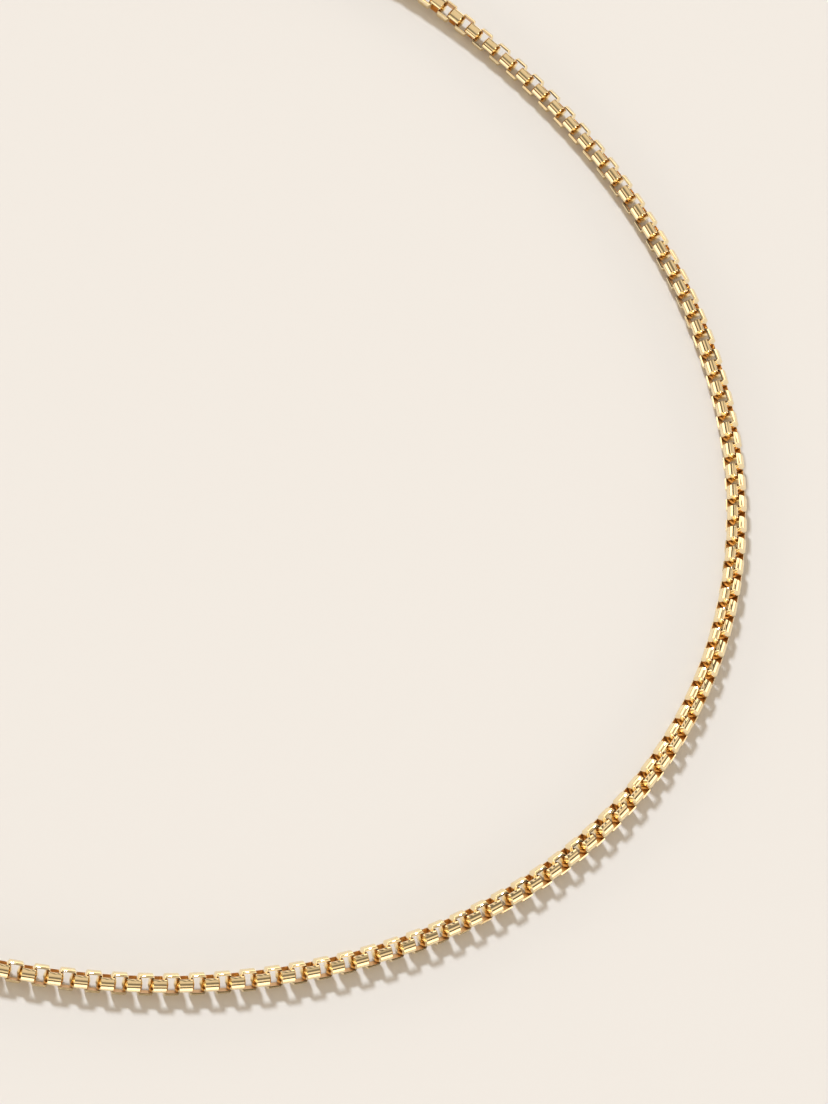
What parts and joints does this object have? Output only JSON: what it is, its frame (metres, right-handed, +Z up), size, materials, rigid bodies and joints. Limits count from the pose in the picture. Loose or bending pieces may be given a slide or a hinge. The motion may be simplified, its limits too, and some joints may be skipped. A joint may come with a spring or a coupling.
{
  "type": "chain necklace",
  "caption": "Round box chain necklace in yellow gold with a lobster clasp and catch ring, lying unfastened in an oval.",
  "frame": {"origin": "the middle of the necklace's bounding box, on the surface that it lies on", "axes": "+Z up, the front of the necklace towards -Y, the clasp at +Y, +X along the oval's longer way"},
  "size_m": [0.1744, 0.16, 0.0034],
  "materials": {
    "gold": "polished yellow gold",
    "spring_steel": "bright spring steel"
  },
  "bodies": {
    "chain_segment_24": {"chain_segment_24": "gold"},
    "chain_segment_01": {"chain_segment_01": "gold"},
    "chain_segment_02": {"chain_segment_02": "gold"},
    "chain_segment_03": {"chain_segment_03": "gold"},
    "chain_segment_04": {"chain_segment_04": "gold"},
    "chain_segment_05": {"chain_segment_05": "gold"},
    "chain_segment_06": {"chain_segment_06": "gold"},
    "chain_segment_07": {"chain_segment_07": "gold"},
    "chain_segment_08": {"chain_segment_08": "gold"},
    "chain_segment_09": {"chain_segment_09": "gold"},
    "chain_segment_10": {"chain_segment_10": "gold"},
    "chain_segment_11": {"chain_segment_11": "gold"},
    "chain_segment_12": {"chain_segment_12": "gold"},
    "chain_segment_13": {"chain_segment_13": "gold"},
    "chain_segment_14": {"chain_segment_14": "gold"},
    "chain_segment_15": {"chain_segment_15": "gold"},
    "chain_segment_16": {"chain_segment_16": "gold"},
    "chain_segment_17": {"chain_segment_17": "gold"},
    "chain_segment_18": {"chain_segment_18": "gold"},
    "chain_segment_19": {"chain_segment_19": "gold"},
    "chain_segment_20": {"chain_segment_20": "gold"},
    "chain_segment_21": {"chain_segment_21": "gold"},
    "chain_segment_22": {"chain_segment_22": "gold"},
    "chain_segment_23": {"chain_segment_23": "gold"},
    "chain_segment_25": {"chain_segment_25": "gold"},
    "chain_segment_26": {"chain_segment_26": "gold"},
    "chain_segment_27": {"chain_segment_27": "gold"},
    "chain_segment_28": {"chain_segment_28": "gold"},
    "chain_segment_29": {"chain_segment_29": "gold"},
    "chain_segment_30": {"chain_segment_30": "gold"},
    "chain_segment_31": {"chain_segment_31": "gold"},
    "chain_segment_32": {"chain_segment_32": "gold"},
    "chain_segment_33": {"chain_segment_33": "gold"},
    "chain_segment_34": {"chain_segment_34": "gold"},
    "chain_segment_35": {"chain_segment_35": "gold"},
    "chain_segment_36": {"chain_segment_36": "gold"},
    "chain_segment_37": {"chain_segment_37": "gold"},
    "chain_segment_38": {"chain_segment_38": "gold"},
    "chain_segment_39": {"chain_segment_39": "gold"},
    "chain_segment_40": {"chain_segment_40": "gold"},
    "chain_segment_41": {"chain_segment_41": "gold"},
    "chain_segment_42": {"chain_segment_42": "gold"},
    "chain_segment_43": {"chain_segment_43": "gold"},
    "chain_segment_44": {"chain_segment_44": "gold"},
    "chain_segment_45": {"chain_segment_45": "gold"},
    "chain_segment_46": {"chain_segment_46": "gold"},
    "chain_segment_47": {"chain_segment_47": "gold"},
    "clasp_end_ring": {"clasp_end_ring": "gold"},
    "catch_end_ring": {"catch_end_ring": "gold"},
    "catch_ring": {"catch_ring": "gold"},
    "clasp_body": {"clasp_body": "gold", "clasp_pin": "gold", "clasp_spring": "spring_steel"},
    "clasp_lever": {"clasp_lever": "gold"}
  },
  "joints": [
    {"name": "chain_pivot_01", "type": "hinge", "parent": "chain_segment_02", "child": "chain_segment_01", "pos_m": [-0.02186, 0.07372, 0.00154], "axis": [0.2306, -0.9378, -0.2595], "range_deg": [-12, 12]},
    {"name": "chain_pivot_02", "type": "hinge", "parent": "chain_segment_03", "child": "chain_segment_02", "pos_m": [-0.03185, 0.07073, 0.00132], "axis": [0.19, -0.5509, 0.8127], "range_deg": [-12, 12]},
    {"name": "chain_pivot_03", "type": "hinge", "parent": "chain_segment_04", "child": "chain_segment_03", "pos_m": [-0.04143, 0.06663, 0.0013], "axis": [-0.3508, 0.704, 0.6176], "range_deg": [-12, 12]},
    {"name": "chain_pivot_04", "type": "hinge", "parent": "chain_segment_05", "child": "chain_segment_04", "pos_m": [-0.05047, 0.06144, 0.0013], "axis": [-0.3473, 0.5294, -0.7741], "range_deg": [-12, 12]},
    {"name": "chain_pivot_05", "type": "hinge", "parent": "chain_segment_06", "child": "chain_segment_05", "pos_m": [-0.05882, 0.0552, 0.0013], "axis": [0.4906, -0.5788, -0.6513], "range_deg": [-12, 12]},
    {"name": "chain_pivot_06", "type": "hinge", "parent": "chain_segment_07", "child": "chain_segment_06", "pos_m": [-0.06633, 0.04797, 0.0013], "axis": [0.4959, -0.4531, 0.7408], "range_deg": [-12, 12]},
    {"name": "chain_pivot_07", "type": "hinge", "parent": "chain_segment_08", "child": "chain_segment_07", "pos_m": [-0.07284, 0.03983, 0.0013], "axis": [-0.5916, 0.4111, 0.6935], "range_deg": [-12, 12]},
    {"name": "chain_pivot_08", "type": "hinge", "parent": "chain_segment_09", "child": "chain_segment_08", "pos_m": [-0.07818, 0.03088, 0.0013], "axis": [-0.6386, 0.3234, -0.6983], "range_deg": [-12, 12]},
    {"name": "chain_pivot_09", "type": "hinge", "parent": "chain_segment_10", "child": "chain_segment_09", "pos_m": [-0.08222, 0.02127, 0.0013], "axis": [0.64, -0.216, -0.7374], "range_deg": [-12, 12]},
    {"name": "chain_pivot_10", "type": "hinge", "parent": "chain_segment_11", "child": "chain_segment_10", "pos_m": [-0.08482, 0.01118, 0.0013], "axis": [0.7452, -0.1343, 0.6532], "range_deg": [-12, 12]},
    {"name": "chain_pivot_11", "type": "hinge", "parent": "chain_segment_12", "child": "chain_segment_11", "pos_m": [-0.08589, 0.00082, 0.0013], "axis": [-0.6326, 0.0183, 0.7742], "range_deg": [-12, 12]},
    {"name": "chain_pivot_12", "type": "hinge", "parent": "chain_segment_13", "child": "chain_segment_12", "pos_m": [-0.08541, -0.00959, 0.0013], "axis": [-0.7822, -0.0951, -0.6157], "range_deg": [-12, 12]},
    {"name": "chain_pivot_13", "type": "hinge", "parent": "chain_segment_14", "child": "chain_segment_13", "pos_m": [-0.08339, -0.01981, 0.0013], "axis": [0.5806, 0.1602, -0.7983], "range_deg": [-12, 12]},
    {"name": "chain_pivot_14", "type": "hinge", "parent": "chain_segment_15", "child": "chain_segment_14", "pos_m": [-0.0799, -0.02963, 0.0013], "axis": [0.7373, 0.3241, 0.5927], "range_deg": [-12, 12]},
    {"name": "chain_pivot_15", "type": "hinge", "parent": "chain_segment_16", "child": "chain_segment_15", "pos_m": [-0.07504, -0.03885, 0.0013], "axis": [-0.4988, -0.309, 0.8098], "range_deg": [-12, 12]},
    {"name": "chain_pivot_16", "type": "hinge", "parent": "chain_segment_17", "child": "chain_segment_16", "pos_m": [-0.06896, -0.04732, 0.0013], "axis": [-0.6264, -0.5167, -0.5836], "range_deg": [-12, 12]},
    {"name": "chain_pivot_17", "type": "hinge", "parent": "chain_segment_18", "child": "chain_segment_17", "pos_m": [-0.06182, -0.05491, 0.0013], "axis": [-0.6827, -0.7307, 0], "range_deg": [-12, 12]},
    {"name": "chain_pivot_18", "type": "hinge", "parent": "chain_segment_19", "child": "chain_segment_18", "pos_m": [-0.05377, -0.06154, 0.0013], "axis": [0.5869, 0.8097, 0], "range_deg": [-12, 12]},
    {"name": "chain_pivot_19", "type": "hinge", "parent": "chain_segment_20", "child": "chain_segment_19", "pos_m": [-0.04498, -0.06713, 0.0013], "axis": [-0.4859, -0.874, 0], "range_deg": [-12, 12]},
    {"name": "chain_pivot_20", "type": "hinge", "parent": "chain_segment_21", "child": "chain_segment_20", "pos_m": [-0.03559, -0.07166, 0.0013], "axis": [0.3813, 0.9245, 0], "range_deg": [-12, 12]},
    {"name": "chain_pivot_21", "type": "hinge", "parent": "chain_segment_22", "child": "chain_segment_21", "pos_m": [-0.02574, -0.07508, 0.0013], "axis": [-0.2741, -0.9617, 0], "range_deg": [-12, 12]},
    {"name": "chain_pivot_22", "type": "hinge", "parent": "chain_segment_23", "child": "chain_segment_22", "pos_m": [-0.01557, -0.07737, 0.0013], "axis": [0.1652, 0.9863, 0], "range_deg": [-12, 12]},
    {"name": "chain_pivot_23", "type": "hinge", "parent": "chain_segment_24", "child": "chain_segment_23", "pos_m": [-0.00521, -0.07852, 0.0013], "axis": [-0.0552, -0.9985, 0], "range_deg": [-12, 12]},
    {"name": "chain_pivot_24", "type": "hinge", "parent": "chain_segment_24", "child": "chain_segment_25", "pos_m": [0.00521, -0.07852, 0.0013], "axis": [0.0552, -0.9985, 0], "range_deg": [-12, 12]},
    {"name": "chain_pivot_25", "type": "hinge", "parent": "chain_segment_25", "child": "chain_segment_26", "pos_m": [0.01557, -0.07737, 0.0013], "axis": [-0.1652, 0.9863, 0], "range_deg": [-12, 12]},
    {"name": "chain_pivot_26", "type": "hinge", "parent": "chain_segment_26", "child": "chain_segment_27", "pos_m": [0.02574, -0.07508, 0.0013], "axis": [0.2741, -0.9617, 0], "range_deg": [-12, 12]},
    {"name": "chain_pivot_27", "type": "hinge", "parent": "chain_segment_27", "child": "chain_segment_28", "pos_m": [0.03559, -0.07166, 0.0013], "axis": [-0.3813, 0.9245, 0], "range_deg": [-12, 12]},
    {"name": "chain_pivot_28", "type": "hinge", "parent": "chain_segment_28", "child": "chain_segment_29", "pos_m": [0.04498, -0.06713, 0.0013], "axis": [0.4859, -0.874, 0], "range_deg": [-12, 12]},
    {"name": "chain_pivot_29", "type": "hinge", "parent": "chain_segment_29", "child": "chain_segment_30", "pos_m": [0.05377, -0.06154, 0.0013], "axis": [-0.5869, 0.8097, 0], "range_deg": [-12, 12]},
    {"name": "chain_pivot_30", "type": "hinge", "parent": "chain_segment_30", "child": "chain_segment_31", "pos_m": [0.06182, -0.05491, 0.0013], "axis": [0.6827, -0.7307, 0], "range_deg": [-12, 12]},
    {"name": "chain_pivot_31", "type": "hinge", "parent": "chain_segment_31", "child": "chain_segment_32", "pos_m": [0.06896, -0.04732, 0.0013], "axis": [0.6264, -0.5167, -0.5836], "range_deg": [-12, 12]},
    {"name": "chain_pivot_32", "type": "hinge", "parent": "chain_segment_32", "child": "chain_segment_33", "pos_m": [0.07504, -0.03885, 0.0013], "axis": [0.4988, -0.309, 0.8098], "range_deg": [-12, 12]},
    {"name": "chain_pivot_33", "type": "hinge", "parent": "chain_segment_33", "child": "chain_segment_34", "pos_m": [0.0799, -0.02963, 0.0013], "axis": [-0.7373, 0.3241, 0.5927], "range_deg": [-12, 12]},
    {"name": "chain_pivot_34", "type": "hinge", "parent": "chain_segment_34", "child": "chain_segment_35", "pos_m": [0.08339, -0.01981, 0.0013], "axis": [-0.5806, 0.1602, -0.7983], "range_deg": [-12, 12]},
    {"name": "chain_pivot_35", "type": "hinge", "parent": "chain_segment_35", "child": "chain_segment_36", "pos_m": [0.08541, -0.00959, 0.0013], "axis": [0.7822, -0.0951, -0.6157], "range_deg": [-12, 12]},
    {"name": "chain_pivot_36", "type": "hinge", "parent": "chain_segment_36", "child": "chain_segment_37", "pos_m": [0.08589, 0.00082, 0.0013], "axis": [0.6326, 0.0183, 0.7742], "range_deg": [-12, 12]},
    {"name": "chain_pivot_37", "type": "hinge", "parent": "chain_segment_37", "child": "chain_segment_38", "pos_m": [0.08482, 0.01118, 0.0013], "axis": [-0.7452, -0.1343, 0.6532], "range_deg": [-12, 12]},
    {"name": "chain_pivot_38", "type": "hinge", "parent": "chain_segment_38", "child": "chain_segment_39", "pos_m": [0.08222, 0.02127, 0.0013], "axis": [-0.64, -0.216, -0.7374], "range_deg": [-12, 12]},
    {"name": "chain_pivot_39", "type": "hinge", "parent": "chain_segment_39", "child": "chain_segment_40", "pos_m": [0.07818, 0.03088, 0.0013], "axis": [0.6386, 0.3234, -0.6983], "range_deg": [-12, 12]},
    {"name": "chain_pivot_40", "type": "hinge", "parent": "chain_segment_40", "child": "chain_segment_41", "pos_m": [0.07284, 0.03983, 0.0013], "axis": [0.5916, 0.4111, 0.6935], "range_deg": [-12, 12]},
    {"name": "chain_pivot_41", "type": "hinge", "parent": "chain_segment_41", "child": "chain_segment_42", "pos_m": [0.06633, 0.04797, 0.0013], "axis": [-0.4959, -0.4531, 0.7408], "range_deg": [-12, 12]},
    {"name": "chain_pivot_42", "type": "hinge", "parent": "chain_segment_42", "child": "chain_segment_43", "pos_m": [0.05882, 0.0552, 0.0013], "axis": [-0.4906, -0.5788, -0.6513], "range_deg": [-12, 12]},
    {"name": "chain_pivot_43", "type": "hinge", "parent": "chain_segment_43", "child": "chain_segment_44", "pos_m": [0.05047, 0.06144, 0.0013], "axis": [0.3473, 0.5294, -0.7741], "range_deg": [-12, 12]},
    {"name": "chain_pivot_44", "type": "hinge", "parent": "chain_segment_44", "child": "chain_segment_45", "pos_m": [0.04143, 0.06663, 0.0013], "axis": [0.3508, 0.704, 0.6176], "range_deg": [-12, 12]},
    {"name": "chain_pivot_45", "type": "hinge", "parent": "chain_segment_45", "child": "chain_segment_46", "pos_m": [0.03185, 0.07073, 0.00132], "axis": [-0.19, -0.5509, 0.8127], "range_deg": [-12, 12]},
    {"name": "chain_pivot_46", "type": "hinge", "parent": "chain_segment_46", "child": "chain_segment_47", "pos_m": [0.02186, 0.07372, 0.00154], "axis": [-0.2306, -0.9378, -0.2595], "range_deg": [-12, 12]},
    {"name": "clasp_end_ring_swing", "type": "hinge", "parent": "chain_segment_01", "child": "clasp_end_ring", "pos_m": [-0.01146, 0.07559, 0.0017], "axis": [-0.1214, 0.9926, 0], "range_deg": [-20, 20]},
    {"name": "catch_end_ring_swing", "type": "hinge", "parent": "chain_segment_47", "child": "catch_end_ring", "pos_m": [0.01146, 0.07559, 0.0017], "axis": [-0.1214, -0.9926, 0], "range_deg": [-20, 20]},
    {"name": "clasp_swivel", "type": "hinge", "parent": "clasp_end_ring", "child": "clasp_body", "pos_m": [-0.00937, 0.07582, 0.0017], "axis": [0, 0, 1], "range_deg": [-50, 50]},
    {"name": "catch_ring_swivel", "type": "hinge", "parent": "catch_end_ring", "child": "catch_ring", "pos_m": [0.00937, 0.07582, 0.0017], "axis": [0, 0, 1], "range_deg": [-50, 50]},
    {"name": "clasp_lever_pivot", "type": "hinge", "parent": "clasp_body", "child": "clasp_lever", "pos_m": [-0.00572, 0.07713, 0.00154], "axis": [0.0454, 0.0044, 0.999], "range_deg": [-24, 0], "stiffness_Nm_per_rad": 0.0015, "springref_deg": 5.73, "deforming": ["clasp_spring"]}
  ]
}
